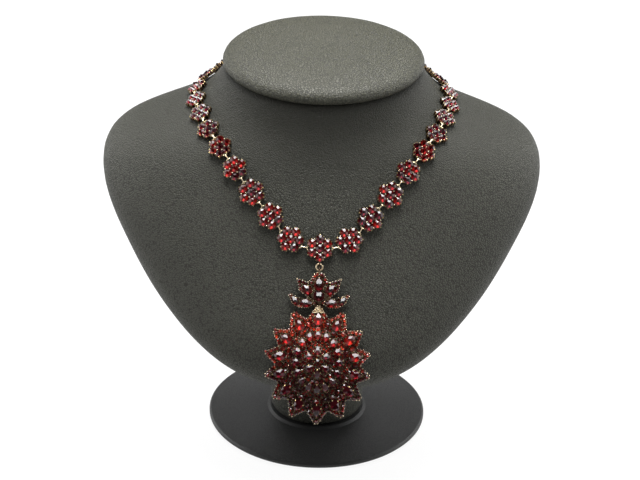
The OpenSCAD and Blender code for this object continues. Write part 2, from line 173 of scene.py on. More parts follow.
# %% Build a finish
class Finish:
    """A material that is built node by node."""

    def __init__(self, name, **fixed):
        self.material = bpy.data.materials.new(name)
        self.material.use_nodes = True
        self.tree = self.material.node_tree
        self.shader = self.tree.nodes["Principled BSDF"]
        for socket, value in fixed.items():
            self.shader.inputs[socket.replace("_", " ")].default_value = value

    def node(self, kind, settings=None, sockets=None, out=0):
        node = self.tree.nodes.new("ShaderNode" + kind)
        for key, value in (settings or {}).items():
            if key == "stops":
                ramp = node.color_ramp.elements
                while len(ramp) < len(value):
                    ramp.new(0.5)
                for element, (place, shade) in zip(ramp, value):
                    element.position = place
                    element.color = (*shade, 1)
            else:
                setattr(node, key, value)
        for key, value in (sockets or {}).items():
            self.put(node.inputs[key], value)
        return Flow(self, node.outputs[out])

    def put(self, socket, value):
        if isinstance(value, Flow):
            self.tree.links.new(value.socket, socket)
        else:
            socket.default_value = value

    def feed(self, name, value):
        self.put(self.shader.inputs[name], value)

    def place(self):
        """Object coordinates, which stay with the piece and are in metres."""
        return self.node("TexCoord", out=3)

    def noise(self, size, detail=2, rough=0.5):
        """Soft noise round 0.5, with blots about `size` metres wide."""
        values = {"Vector": self.place(), "Scale": 1 / size, "Detail": detail,
                  "Roughness": rough}
        return self.node("TexNoise", {}, values)

    def smooth_step(self, value, low, high):
        """A number that rises softly from 0 at `low` to 1 at `high`."""
        sockets = {"Value": value, "From Min": low, "From Max": high}
        return self.node("MapRange", {"interpolation_type": "SMOOTHSTEP"}, sockets)

    def ramp(self, value, *stops):
        return self.node("ValToRGB", {"stops": stops}, {"Fac": value})

    def blend(self, mask, low, high):
        """Mixes two colours by a mask from 0 to 1."""
        sockets = {"Factor": mask, 6: low, 7: high}
        return self.node("Mix", {"data_type": "RGBA"}, sockets, out=2)

    def bump(self, height, depth):
        """Feeds the normal with a relief whose full height is `depth` metres."""
        sockets = {"Height": height, "Distance": depth, "Strength": 1.0}
        self.feed("Normal", self.node("Bump", {}, sockets))


print("helpers: Flow, Finish")


# %% [markdown]
# ## Leatherette
#
# The bust is covered with thin black leatherette, whose grain is a net of fine creases
# round flat pebbles about a millimetre wide. A noise would give blots without borders,
# so the grain is a cell pattern whose borders are pressed in. Its points are pushed
# about a little, or the cells would look as straight as gravel. The pebbles' tops are
# greenish grey and the creases black, partly the grain's own tone and partly painted
# shade in the creases. The cap's shadow on the neck is painted too: a mask over the
# height darkens the cover's colour there, so the neck is blacker.


# %% Make the leatherette
# Painted shadow: between these heights the cap's shadow on the neck is painted into the
# cover's colour.
PAINTED_SHADOW_HEIGHTS = (0.135, 0.166)  # the cover turns black between them, in metres


def leatherette(name, pebble, depth, dark, light, rough, neck_shadow_paint=0.0, sheen=0.15):
    """Leatherette with pebbles `pebble` metres wide and creases `depth` metres deep."""
    skin = Finish(name, Specular_IOR_Level=sheen)
    place = skin.place()
    bend = skin.node("TexNoise", {}, {"Vector": place, "Scale": 0.7 / pebble}, out=1)
    centred = skin.node("VectorMath", {"operation": "SUBTRACT"}, {0: bend, 1: (0.5,) * 3})
    pushed = skin.node("VectorMath", {"operation": "SCALE"},
                       {0: centred, "Scale": 0.9 * pebble})
    bent = skin.node("VectorMath", {"operation": "ADD"}, {0: place, 1: pushed})
    cells = {"Vector": bent, "Scale": 1 / pebble}
    edge = skin.node("TexVoronoi", {"feature": "DISTANCE_TO_EDGE"}, cells)
    cell = skin.node("TexVoronoi", {"feature": "F1"}, cells, out=1)
    tone = skin.node("SeparateColor", {}, {0: cell})
    crease = skin.smooth_step(edge, 0.0, 0.24)
    cloud = skin.noise(0.035, detail=3)
    pores = skin.noise(pebble * 0.35, detail=2, rough=0.6)
    skin.bump(crease * 0.75 + tone * 0.35 + pores * 0.15, depth)
    # The creases are darker in colour: partly the grain's own tone, partly painted shade
    # in them.
    shade = skin.smooth_step(crease * 0.8 + tone * 0.1 + (cloud - 0.5) * 0.35, 0.0, 1.0)
    up = skin.node("SeparateXYZ", {}, {0: place}, out=2)
    # Painted shadow: the colour darkens up the neck, where the cap's shadow falls.
    shade = shade * (1 - neck_shadow_paint * skin.smooth_step(up, *PAINTED_SHADOW_HEIGHTS))
    skin.feed("Base Color", skin.blend(shade, dark, light))
    skin.feed("Roughness", rough + (1 - crease) * 0.18 + (cloud - 0.5) * 0.12)
    return skin.material


bust_skin = leatherette("bust leatherette", 1.1 * MM, 0.27 * MM,
                        (0.023, 0.023, 0.0185, 1), (0.055, 0.055, 0.0447, 1), 0.46,
                        neck_shadow_paint=0.85, sheen=0.17)
cap_cover = leatherette("cap leatherette", 1.15 * MM, 0.2 * MM,
                        (0.016, 0.016, 0.011, 1), (0.046, 0.0455, 0.0305, 1), 0.42,
                        sheen=0.28)
foot_skin = leatherette("foot leatherette", 0.8 * MM, 0.03 * MM,
                        (0.011, 0.011, 0.011, 1), (0.017, 0.017, 0.0165, 1), 0.42,
                        sheen=0.33)
print("leatherette nodes:", len(bust_skin.node_tree.nodes))

# %% [markdown]
# ## Gilt metal
#
# The settings are gilt tombac, a red brass. The gilding is pale where it is rubbed, and
# brown in the corners. One colour would look like plastic, so a noise pulls it from pale
# gold to a rough dark brass, in four grades. The rubbed grade is real wear on beads and
# rings, and is also given as painted light to more grains high on the star. The dull
# grade is painted shade on the other grains. The toned one, on the plates and collets
# between the stones, is partly patina and partly painted shade.


# %% Make the gilding
def gilding(name, pale, worn, rough):
    """A metal that changes in spots between a pale and a worn colour."""
    metal = Finish(name, Metallic=1.0)
    wear = metal.smooth_step(metal.noise(1.6 * MM, detail=3, rough=0.65), 0.36, 0.62)
    metal.feed("Base Color", metal.blend(wear, worn, pale))
    metal.feed("Roughness", rough + (1 - wear) * 0.22)
    metal.bump(metal.noise(0.35 * MM, detail=2), 0.02 * MM)
    return metal.material


gilt = gilding("gilt metal", (0.5, 0.38, 0.19, 1), (0.09, 0.06, 0.03, 1), 0.25)
bright_gilt = gilding("rubbed gilt", (0.9, 0.78, 0.56, 1), (0.5, 0.38, 0.24, 1), 0.2)
# A shaded copy of the gilt: painted shade on the grains lower on the star.
shaded_gilt = gilding("dull gilt", (0.32, 0.22, 0.16, 1), (0.08, 0.05, 0.035, 1), 0.25)
# The toned gilt is partly patina and partly painted shade in the recesses between stones.
toned_and_shaded_gilt = gilding("toned gilt", (0.1, 0.065, 0.04, 1), (0.02, 0.01, 0.008, 1), 0.4)
print("gilt nodes:", len(gilt.node_tree.nodes))

# %% [markdown]
# ## Garnet
#
# A garnet is a clear dark red crystal whose facets flash white where they mirror a
# lamp. Old settings have a bright foil behind the stone, so its lower half glows red.
# One face attribute says how bright a stone is and another marks the foil on its
# underside, so a single finish serves them all. The refractive index is below the real
# 1.75, because lamps this wide would whiten too many facets.


# %% Make the garnet
WINE_RED = (0.035, 0.002, 0.006)
BLOOD_RED = (0.17, 0.005, 0.003)
ORANGE_RED = (0.6, 0.04, 0.012)
FOIL = (0.8, 0.62, 0.55, 1)


def garnet_glass(name):
    stone = Finish(name, IOR=1.41, Transmission_Weight=1.0)
    # The tone holds each stone's own random tone together with painted light from where it
    # sits.
    tone = stone.node("Attribute", {"attribute_name": "tone"}, out=2)
    foil = stone.node("Attribute", {"attribute_name": "foil"}, out=2)
    tint = stone.ramp(tone, (0.0, WINE_RED), (0.5, BLOOD_RED), (1.0, ORANGE_RED))
    stone.feed("Base Color", stone.blend(foil, tint, FOIL))
    stone.feed("Metallic", foil)
    stone.feed("Roughness", 0.02 + foil * 0.28)
    return stone.material


garnet = garnet_glass("garnet")
print("garnet nodes:", len(garnet.node_tree.nodes))

# %% [markdown]
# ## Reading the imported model
#
# A stone or a setting of the CAD model says where its detailed twin belongs. Places
# typed in again would miss a change there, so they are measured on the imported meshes.
# The largest flat face of a CAD stone is the plane of its girdle, and its normal, turned
# round, is the way the stone looks.


# %% Split a node into its loose solids
MERGE = 0.001 * MM


def merged(name):
    """A CAD node's bmesh, whose loose triangles are joined at their corners."""
    bm = bmesh.new()
    bm.from_mesh(nodes[name].data)
    bmesh.ops.remove_doubles(bm, verts=bm.verts, dist=MERGE)
    return bm


def loose_solids(name):
    """Gives each loose solid of a CAD node as faces: normal, area and corners."""
    bm = merged(name)
    seen, solids = set(), []
    for start in bm.verts:
        if start in seen:
            continue
        seen.add(start)
        group, todo = [], [start]
        while todo:
            corner = todo.pop()
            group.append(corner)
            for edge in corner.link_edges:
                other = edge.other_vert(corner)
                if other not in seen:
                    seen.add(other)
                    todo.append(other)
        faces = {face for corner in group for face in corner.link_faces}
        solids.append([(f.normal.copy(), f.calc_area(), [v.co.copy() for v in f.verts])
                       for f in sorted(faces, key=lambda f: f.index)])
    bm.free()
    return solids


def corners_of(faces):
    return [corner for _, _, corners in faces for corner in corners]


def widest_plane(faces):
    """The normal and a point of the plane that holds the most area."""
    planes = {}
    for normal, area, corners in faces:
        key = (*(round(c, 2) for c in normal), round(normal.dot(corners[0]) / MM, 1))
        total = planes.setdefault(key, [0, normal, corners[0]])
        total[0] += area
    return max(planes.values(), key=lambda plane: plane[0])[1:]


def span(points, axis):
    """The middle and the length of some points along an axis."""
    reach = [point.dot(axis) for point in points]
    return (min(reach) + max(reach)) / 2, max(reach) - min(reach)


print("stones of the crown:", len(loose_solids("crown_stones")))


# %% Measure a stone
def axes_matrix(origin, x, y, z):
    """The matrix that takes a piece from its own axes to the row frame."""
    return Matrix.Translation(origin) @ Matrix((x, y, z)).transposed().to_4x4()


def measure_stones(name):
    """Gives each stone of a node as its frame, and its length and width in mm."""
    found = []
    for faces in loose_solids(name):
        down, point = widest_plane(faces)
        base = [c for c in corners_of(faces) if abs((c - point).dot(down)) < 0.01 * MM]
        middle = sum(base, Vector()) / len(base)
        tip = max(base, key=lambda c: (c - middle).length)
        y = (tip - middle).normalized()
        x = y.cross(-down)
        spread = [c - middle for c in base]
        centre, length = span(spread, y)
        width = span(spread, x)[1]
        place = axes_matrix(middle + y * centre, x, y, -down)
        found.append((place, length / MM, width / MM))
    return found


_, length, width = measure_stones("petal_stones")[0]
print("first petal stone:", round(length, 2), "by", round(width, 2), "mm")

# %% [markdown]
# ## Building pieces
#
# A real setting has hundreds of claws and grains. Objects of their own would be slow, so
# each piece is one mesh that many small shapes fill. `Piece` holds it with two face
# attributes, and at the end gives it its finish and its body, and hides the CAD nodes it
# stands for.


# %% Collect shapes into a piece
class Piece:
    """A mesh that grows shape by shape."""

    def __init__(self):
        self.bm = bmesh.new()
        self.tone = self.bm.faces.layers.float.new("tone")
        self.foil = self.bm.faces.layers.float.new("foil")

    def finish(self, name, material, body, slot, replaces=(), smooth=None):
        """Makes the object. Edges sharper than `smooth` degrees stay sharp."""
        if smooth is not None:
            for face in self.bm.faces:
                face.smooth = True
            for edge in self.bm.edges:
                if len(edge.link_faces) == 2:
                    edge.smooth = edge.calc_face_angle(0) < math.radians(smooth)
        piece = add_object(name, into_mesh(self.bm, name))
        piece.data.materials.append(material)
        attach(piece, body)
        if replaces:
            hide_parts(*replaces)
        print(name, len(piece.data.polygons), "faces")


# %% [markdown]
# ## The bust
#
# The real bust is a moulded shell with leatherette pulled over it, so it has a soft fold
# where the stem meets the chest. Subdividing the CAD solid would pinch at its long
# triangles, so a copy of it is turned into an even net of small squares and smoothed.
# The foot is a plain disc, so its CAD node stays and gets a cover.


# %% Smooth skins over the bust
def skin_over(name, node, voxel, rounds, material):
    """A smooth skin in the place of a CAD node, with squares `voxel` metres wide."""
    cage = add_object(name + "_cage", into_mesh(merged(node), name + "_cage"))
    remesh = cage.modifiers.new("squares", "REMESH")
    remesh.mode = "VOXEL"
    remesh.voxel_size = voxel
    remesh.adaptivity = 0
    graph = bpy.context.evaluated_depsgraph_get()
    even = bpy.data.meshes.new_from_object(cage.evaluated_get(graph))
    bpy.data.objects.remove(cage)
    piece = Piece()
    piece.bm.from_mesh(even)
    for _ in range(rounds):
        bmesh.ops.smooth_vert(piece.bm, verts=piece.bm.verts, factor=0.5,
                              use_axis_x=True, use_axis_y=True, use_axis_z=True)
    piece.finish(name, material, "bust", "leatherette", replaces=[node], smooth=60)


skin_over("bust_skin", "bust_body", 1.8 * MM, 14, bust_skin)
skin_over("cap_skin", "neck_cap", 1.2 * MM, 6, cap_cover)


# %% Cover CAD nodes
def cover(name, material):
    """Gives a CAD node a finish, and leaves its shape alone."""
    nodes[name].data.materials.clear()
    nodes[name].data.materials.append(material)


cover("bust_foot", foot_skin)
print("covered bust_foot")

# %% [markdown]
# ## Cutting a stone
#
# A cut stone has a flat table on top, facets that slope down from it to its widest
# line, the girdle, and a pavilion below that ends in a small culet. It is convex, so
# here it is the hull of a few rings of points, and the hull operator finds the facets.
# The stones are round or drops, and a drop is a circle whose upper half is drawn
# together to a point.


# %% Outlines of stones
def ring(count, turn=0.0):
    """Corners of a circle with radius 1."""
    turns = [2 * math.pi / count * (i + turn) for i in range(count)]
    return [(math.sin(angle), math.cos(angle)) for angle in turns]


def drop_width(y):
    """How wide a drop is at y, as a share of the circle's width there."""
    return 1.18 * (1 - 0.5 * ((y + 1) / 2) ** 1.7)


def drop(count, turn=0.0):
    """Corners of a drop with its point at the top, 2 long and about 2 wide."""
    return [(x * drop_width(y), y) for x, y in ring(count, turn)]


print("a drop's corners:", [(round(x, 2), round(y, 2)) for x, y in drop(6)])


# %% Rings of a stone
CULET = 0.12  # its width as a share of the stone's


def round_levels(sides, crown, depth, table=0.42):
    """The rings of a round stone, as height, share of its width and corners."""
    if sides < 7:
        return [(-depth, CULET, ring(sides)), (0, 1, ring(sides)),
                (0.15 * crown, 1, ring(sides)), (crown, 0.35, ring(sides))]
    return [(-depth, CULET, ring(sides)), (0, 1, ring(2 * sides)),
            (0.12 * crown, 1, ring(2 * sides)), (0.3 * crown, 0.93, ring(sides)),
            (crown, table, ring(sides))]


def drop_levels(crown, depth):
    """The rings of a drop, with five corners round its table."""
    table = [(-0.5, 0.35), (0.5, 0.35), (0.45, -0.15), (0, -0.38), (-0.45, -0.15)]
    return [(-depth, CULET, drop(8)), (0, 1, drop(16)), (0.12 * crown, 1, drop(8)),
            (crown, 1, table)]


print("rings of a round stone:", len(round_levels(7, 1, 1)))

# %% [markdown]
# ## The facet that flashes
#
# On old hand-cut garnets some facet nearly always mirrors the lamp. With random facets
# alone, some stones would flash whole and others not at all. So the pendant's stones are
# cut once more, by a plane that looks half way between the lamp and the eye. It takes a
# slice off the crown and leaves the girdle whole.


# %% Cut the facet that flashes
GLANCE = Vector((0, -0.451, 0.893))  # half way between the lamp's way and the eye's
SHAKE = 0.05


def cut_glint(piece, corners, matrix, tone, share):
    """Cuts the facet at a share of the crown's reach, but never into the girdle."""
    kept = [v for v in corners if v.is_valid]
    away = Vector([random.uniform(-SHAKE, SHAKE) for _ in range(3)])
    aim = (GLANCE + away).normalized()
    back = matrix.inverted()
    heights = [(back @ v.co).z for v in kept]
    reach = [(v.co - matrix.translation).dot(aim) for v in kept]
    rim = max(r for r, h in zip(reach, heights) if h < 0.35 * max(heights))
    top = max(r for r, h in zip(reach, heights) if h > 0.9 * max(heights))
    cut = max(rim, share * top)
    if cut >= top:
        return
    around = [part for v in kept for part in (v, *v.link_edges, *v.link_faces)]
    made = bmesh.ops.bisect_plane(piece.bm, geom=list(dict.fromkeys(around)), dist=1e-8,
                                  plane_co=matrix.translation + aim * cut, plane_no=aim,
                                  clear_outer=True)
    edges = [part for part in made["geom_cut"] if isinstance(part, bmesh.types.BMEdge)]
    for face in bmesh.ops.contextual_create(piece.bm, geom=edges)["faces"]:
        face.normal_update()
        if face.normal.dot(aim) < 0:
            face.normal_flip()
        face[piece.tone], face[piece.foil] = tone, 0.0


# %% Cut a stone
def cut_stone(piece, matrix, length, width, levels, tone, glint=None):
    """A stone with its girdle at the frame's origin. Sizes are millimetres."""
    corners = []
    for height, share, outline in levels:
        for x, y in outline:
            place = Vector((x * share * width / 2, y * share * length / 2, height)) * MM
            corners.append(piece.bm.verts.new(matrix @ place))
    hull = bmesh.ops.convex_hull(piece.bm, input=corners, use_existing_faces=False)
    loose = [v for v in corners if v.is_valid and not v.link_faces]
    bmesh.ops.delete(piece.bm, geom=loose, context="VERTS")
    out = matrix.col[2].xyz
    for face in hull["geom"]:
        if isinstance(face, bmesh.types.BMFace):
            face.normal_update()
            face[piece.tone] = tone
            face[piece.foil] = 1.0 if face.normal.dot(out) < -0.2 else 0.0
    if glint:
        cut_glint(piece, corners, matrix, tone, glint)


SIDES = 7  # facets round the crown of a larger round stone


def facet_up(matrix):
    """Turns a round stone so that one of its facets looks up, give or take a bit."""
    up = matrix.to_3x3().inverted() @ Vector((0, 0, 1))
    angle = math.atan2(-up.x, up.y) + math.pi / SIDES
    angle += math.radians(random.uniform(-12, 12))
    lean = Matrix.Rotation(math.radians(random.uniform(-5, 5)), 4, random.choice("XY"))
    return matrix @ lean @ Matrix.Rotation(angle, 4, "Z")


# %% [markdown]
# ## The rosettes' stones
#
# Garnets differ in depth and cut, so a row of equal stones would look printed. Each
# gets a brightness and a lean of its own from a seeded random row. The links near the
# pendant catch more light than those on the shoulders, and that light is painted: the
# stones' colour darkens away from the middle and is a painted dark shade on the
# shoulders. There the stones are cut higher, with hardly a table, because a wide one
# would mirror the whole lamp.

# %% Stones of the rosettes
random.seed(7)


def tone_of(base, spread=0.3):
    """How bright a stone looks, from a wine red near 0 to an orange red near 1."""
    return min(1, max(0, base + random.uniform(-spread, spread)))


GROW = 1.07  # the stones overlap their CAD twins' girdles a little
STAND_OUT = 0.6 * MM
SHOULDER = 0.163  # links higher than this lie on the shoulders, in metres
POINTED = 0.05  # the table of a stone that comes almost to a point


def cut_links(name, node):
    """Cuts the links' stones on one side; painted shade darkens them to the shoulder."""
    piece = Piece()
    for matrix, length, width in measure_stones(node):
        up = facet_up(matrix) @ Matrix.Translation((0, 0, STAND_OUT))
        if matrix.translation.z > SHOULDER:
            levels, painted_brightness, spread = round_levels(SIDES, 1.5, 0.75, POINTED), 0.03, 0.08
        else:
            levels = round_levels(SIDES, 1.05, 0.75)
            painted_brightness, spread = 0.26 - 2.4 * abs(matrix.translation.x), 0.25
        cut_stone(piece, up, length * GROW, width * GROW, levels, tone_of(painted_brightness, spread))
    piece.finish(name, garnet, "bust", "garnet", replaces=[node])


cut_links("link_garnets_right", "rosette_stones_right")
cut_links("link_garnets_left", "rosette_stones_left")

# %% Gilt on the CAD nodes
TONED_AND_SHADED = ("crown_setting", "star_plate", "middle_tier", "top_tier", "rosette_")
gilded = [name for name in nodes
          if not name.startswith(("bust_", "neck_")) and "stones" not in name]
# The plates and rosettes take the toned gilt: partly patina, partly painted shade between
# the stones.
for name in gilded:
    cover(name, toned_and_shaded_gilt if name.startswith(TONED_AND_SHADED) else gilt)
print("gilded nodes:", len(gilded))

# %% [markdown]
# ## The rosettes' frames
#
# Claws and beads follow each rosette as it lies on the chest, so its frame is found on
# its CAD solid. The widest flat face is the back. Only the two lugs have a face between
# the plate and the collets' rims, so the line through them runs along the chain.

# %% Measure the rosettes
SIDE_LINKS = 15
STONED_LINKS = 8  # the links whose stones are in the CAD model
LUG_TOP = 1.175  # heights over a rosette's back, in millimetres
GIRDLE = 1.5


def measure_rosette(name):
    """Gives a rosette's frame, with X along the chain and Z outwards, and its width."""
    faces = loose_solids(name)[0]
    down, back = widest_plane(faces)
    out = -down

    def flat_at(height):
        return [c for normal, _, corners in faces if normal.dot(out) > 0.999
                for c in corners if abs((c - back).dot(out) / MM - height) < 0.03]

    lugs = flat_at(LUG_TOP)
    rough = sum(lugs, Vector()) / len(lugs)
    x = max((c - rough for c in lugs), key=lambda v: v.length).normalized()
    y = out.cross(x)
    ends = [[c for c in lugs if (c - rough).dot(x) * way > 0] for way in (-1, 1)]
    low, high = [x * span(end, x)[0] + y * span(end, y)[0] for end in ends]
    x = (high - low).normalized()
    y = out.cross(x)
    origin = x * span(lugs, x)[0] + y * span(lugs, y)[0] + out * back.dot(out)
    return axes_matrix(origin, x, y, out), span(flat_at(GIRDLE), y)[1] / MM


rosettes = {name: measure_rosette(name) for name in gilded if name.startswith("rosette_")}
print("rosettes:", len(rosettes), "width:", round(rosettes["rosette_centre"][1], 2), "mm")

# %% [markdown]
# ## Claws
#
# Small wires stand round each collet, and their ends are bent over the stone. One claw
# is repeated hundreds of times, so it has to stay light: a ring of six points is
# extruded upwards in short steps and bent, and the mesh is stamped round every stone.


# %% Shape one claw and one bead
def raise_face(bm, face, keep=False):
    """Extrudes a face and gives the new one. The old one goes, unless it is kept."""
    grown = bmesh.ops.extrude_face_region(bm, geom=[face])["geom"]
    if not keep:
        bmesh.ops.delete(bm, geom=[face], context="FACES_ONLY")
    return next(part for part in grown if isinstance(part, bmesh.types.BMFace))


CLAW_WIRE = 0.24  # its radius in millimetres
CLAW_BEND = ((0, 0, 1), (0.1, 0.3, 1.15), (0.34, 0.5, 1), (0.52, 0.44, 0.5))


def claw_mesh():
    """A wire that stands at the origin and bends over a stone on its +Y side. Each step
    of the bend gives how far it reaches, how high it is and the wire's share there."""
    bm = bmesh.new()
    made = bmesh.ops.create_circle(bm, cap_ends=True, segments=6, radius=CLAW_WIRE * MM)
    bmesh.ops.translate(bm, verts=made["verts"], vec=(0, 0, -1.4 * MM))
    end = bm.faces[:][0]
    for reach, height, share in CLAW_BEND:
        end = raise_face(bm, end, keep=height == 0)
        middle = end.calc_center_median()
        for v in end.verts:
            side = (v.co - middle).normalized() * CLAW_WIRE * share * MM
            v.co = side + Vector((0, reach, height)) * MM
    bmesh.ops.recalc_face_normals(bm, faces=bm.faces)
    return into_mesh(bm, "claw")


def bead_mesh():
    """A bead with a radius of one millimetre."""
    bm = bmesh.new()
    bmesh.ops.create_uvsphere(bm, u_segments=8, v_segments=5, radius=MM)
    return into_mesh(bm, "bead")


CLAW = claw_mesh()
BEAD = bead_mesh()
print("claw:", len(CLAW.polygons), "faces, bead:", len(BEAD.polygons), "faces")


# %% Stamp claws and beads
def stamp(piece, shape, matrix):
    """Adds a copy of a small mesh to a piece, and leaves the small mesh as it was."""
    shape.transform(matrix)
    piece.bm.from_mesh(shape)
    shape.transform(matrix.inverted())


def set_bead(piece, frame, x, y, z, radius):
    """A bead at a point of a frame. All sizes are millimetres."""
    spot = Matrix.Translation(Vector((x, y, z)) * MM)
    stamp(piece, BEAD, frame @ spot @ Matrix.Scale(radius, 4))


def set_claw(piece, frame, x, y, z, turn):
    """A claw at a point, bent the way that `turn` says, in degrees round Z from +Y."""
    spot = Matrix.Translation(Vector((x, y, z)) * MM)
    stamp(piece, CLAW, frame @ spot @ Matrix.Rotation(math.radians(turn), 4, "Z"))


def polar(radius, turn):
    """The point of a circle at a turn in degrees from X."""
    return radius * math.cos(math.radians(turn)), radius * math.sin(math.radians(turn))


# %% Spin a ring of wire
def oval_ring(piece, frame, half_long, half_wide, wire):
    """A ring whose wire's middle runs at the half sizes. The halves of a round ring are
    pulled apart along X to make it long."""
    circle = bmesh.ops.create_circle(piece.bm, segments=8, radius=wire * MM)["verts"]
    upright = Matrix.Rotation(math.pi / 2, 4, "X")
    bmesh.ops.transform(piece.bm, verts=circle,
                        matrix=Matrix.Translation((half_wide * MM, 0, 0)) @ upright)
    edges = list({edge for v in circle for edge in v.link_edges})
    before = len(piece.bm.verts) - len(circle)
    bmesh.ops.spin(piece.bm, geom=circle + edges, cent=(0, 0, 0), axis=(0, 0, 1),
                   angle=2 * math.pi, steps=20, use_merge=True, use_duplicate=False)
    piece.bm.verts.ensure_lookup_table()
    verts = piece.bm.verts[before:]
    for v in verts:
        v.co.x += math.copysign(half_long - half_wide, v.co.x) * MM
    faces = dict.fromkeys(face for v in verts for face in v.link_faces)
    bmesh.ops.recalc_face_normals(piece.bm, faces=list(faces))
    bmesh.ops.transform(piece.bm, matrix=frame, verts=verts)


# %% Claws, beads and eyes of the rosettes
SEATS = 0.325  # radii as shares of a rosette's width
COLLETS = 0.172
INNER_BEADS = 0.1876
OUTER_BEADS = 0.37
EYES = 0.412
EYE, EYE_WIRE = 0.78, 0.27


def claw_rosette(piece, beads, frame, width):
    """Beads between the stones, and three claws round each outer stone."""
    for k in range(6):
        inner, outer = [polar(r * width, 60 * k) for r in (INNER_BEADS, OUTER_BEADS)]
        set_bead(beads, frame, *inner, GIRDLE + 0.1, 0.027 * width)
        if k % 3:
            set_bead(beads, frame, *outer, GIRDLE - 0.05, 0.026 * width)
        seat = polar(SEATS * width, 30 + 60 * k)
        for fan in (-52, 0, 52):
            way = 30 + 60 * k + fan
            foot = polar(COLLETS * width, way)
            spot = (seat[0] + foot[0], seat[1] + foot[1], GIRDLE - 0.1)
            set_claw(piece, frame, *spot, way + 90)


for side in ("right", "left"):
    claws, beads = Piece(), Piece()
    for name, (frame_of, width) in rosettes.items():
        if side in name or (side == "right" and name == "rosette_centre"):
            claw_rosette(claws, beads, frame_of, width)
            for way in (-1, 1):
                eye = Matrix.Translation(Vector((way * EYES * width, 0, 1.0)) * MM)
                oval_ring(beads, frame_of @ eye, EYE, EYE, EYE_WIRE)
    claws.finish("rosette_claws_" + side, gilt, "bust", "gilt", smooth=50)
    beads.finish("rosette_beads_" + side, bright_gilt, "bust", "gilt", smooth=70)

# %% [markdown]
# ## The stones behind the neck
#
# The CAD model leaves the seats of the last links open, to keep its solids few. Their
# stones are cut as the shoulders' are, and the rosette's frame says where they sit.

# %% Stones of the last links
back_stones = Piece()
for side in ("right", "left"):
    for number in range(STONED_LINKS + 1, SIDE_LINKS + 1):
        frame_of, width = rosettes[f"rosette_{side}_{number}"]
        for x, y in [(0, 0)] + [polar(SEATS * width, 30 + 60 * k) for k in range(6)]:
            seat = facet_up(frame_of @ Matrix.Translation(Vector((x, y, GIRDLE)) * MM))
            size = 0.32 * width
            levels = round_levels(SIDES, 1.4, 0.75, POINTED)
            # Painted shade: the stones behind the neck are given a dark colour.
            cut_stone(back_stones, seat, size, size, levels, tone_of(0.05, 0.1))
back_stones.finish("back_garnets", garnet, "bust", "garnet")

# %% [markdown]
# ## Jump rings
#
# Oval rings of wire hold the rosettes together. The CAD rings have few sides, so a spun
# ring of the same size replaces each. The ways in which a CAD ring's points spread the
# most and the least say how it lies.


# %% Bend the jump rings
def measure_ring(faces):
    """Gives a ring's frame, with X along it and Z along its axis, and its half sizes."""
    points = np.array([tuple(c) for c in corners_of(faces)])
    _, ways = np.linalg.eigh(np.cov((points - points.mean(axis=0)).T))
    x, z = Vector(ways[:, 2]), Vector(ways[:, 0])
    axes = (x, z.cross(x), z)
    centre, halves = Vector(), []
    for way in axes:
        middle, length = span(corners_of(faces), way)
        centre += way * middle
        halves.append(length / MM / 2)
    return axes_matrix(centre, *axes), halves


WIRE = 0.25  # radius in millimetres
rings = Piece()
for faces in loose_solids("jump_rings"):
    frame_of, (half_long, half_wide, _) = measure_ring(faces)
    oval_ring(rings, frame_of, half_long - WIRE, half_wide - WIRE, WIRE)
rings.finish("jump_wires", bright_gilt, "bust", "gilt", replaces=["jump_rings"],
             smooth=60)
print("half the last ring:", round(half_long, 2), "by", round(half_wide, 2), "mm")
cover("pendant_ring", bright_gilt)

# %% [markdown]
# ## The pendant's own frame
#
# The axis of the joint that lets the pendant sway is the normal of its face, and the
# joint's place is its ring's middle. They give the frame in which the star is drawn in
# millimetres, with X to the right, Y up the pendant and Z out of its face. The plates
# are domed and stepped, so a ray finds the height under each stone.

# %% Find the pendant's frame
sway = next(joint for joint in frame["joints"] if joint["name"] == "pendant_sway")
right, face_out = Vector((1, 0, 0)), Vector(sway["axis"]).normalized()
pendant_frame = axes_matrix(Vector(sway["pos_m"]), right, face_out.cross(right), face_out)
pendant_inverse = pendant_frame.inverted()
print("pendant frame at", [round(v, 4) for v in pendant_frame.translation])


# %% Feel for the pendant's surface
def tree_of(names):
    """A search tree over the triangles of some CAD nodes."""
    corners, faces = [], []
    for name in names:
        first = len(corners)
        mesh = nodes[name].data
        corners += [v.co.copy() for v in mesh.vertices]
        faces += [[first + i for i in face.vertices] for face in mesh.polygons]
    return BVHTree.FromPolygons(corners, faces)


plates = tree_of(["star_plate", "middle_tier", "top_tier", "crown_setting"])


def laid_on(x, y, turn=0.0, lift=0.0):
    """A frame on the pendant's front at (x, y), with Z along the surface's normal."""
    start = pendant_frame @ (Vector((x, y, 30)) * MM)
    hit, normal, _, _ = plates.ray_cast(start, -face_out)
    if hit is None:
        return None
    if normal.dot(face_out) < 0:
        normal = -normal
    angle = math.radians(turn)
    way = pendant_frame.to_3x3() @ Vector((math.sin(angle), math.cos(angle), 0))
    x_axis = way.cross(normal).normalized()
    return axes_matrix(hit + normal * lift * MM, x_axis, normal.cross(x_axis), normal)


print("height of the star's middle:", round(
    (pendant_inverse @ laid_on(0, -46).translation).z / MM, 2), "mm")

# %% [markdown]
# ## The pendant's drops
#
# Each drop sits in a collet, a little cup of sheet metal, and claws hold it. The collet
# is a face in the stone's outline that is extruded, widened, inset for its rim and
# pushed in again. The star's upper petals look orange red and its lower half wine red,
# because more light falls on the upper half. That light is painted: a stone's colour
# brightens with its height on the pendant.


# %% Brightness and collets
CROWN_END = -18  # heights on the pendant, in millimetres
PAINTED_SHADE_BELOW = -54
PAINTED_SHADE_TO_LIGHT = 22


def painted_light_at(matrix):
    """Stones' painted light at a place: even on the crown, rising up the star."""
    y = (pendant_inverse @ matrix.translation).y / MM
    if y > CROWN_END:
        return 0.3
    return 0.05 + 0.5 * min(1, max(0, (y - PAINTED_SHADE_BELOW) / PAINTED_SHADE_TO_LIGHT))


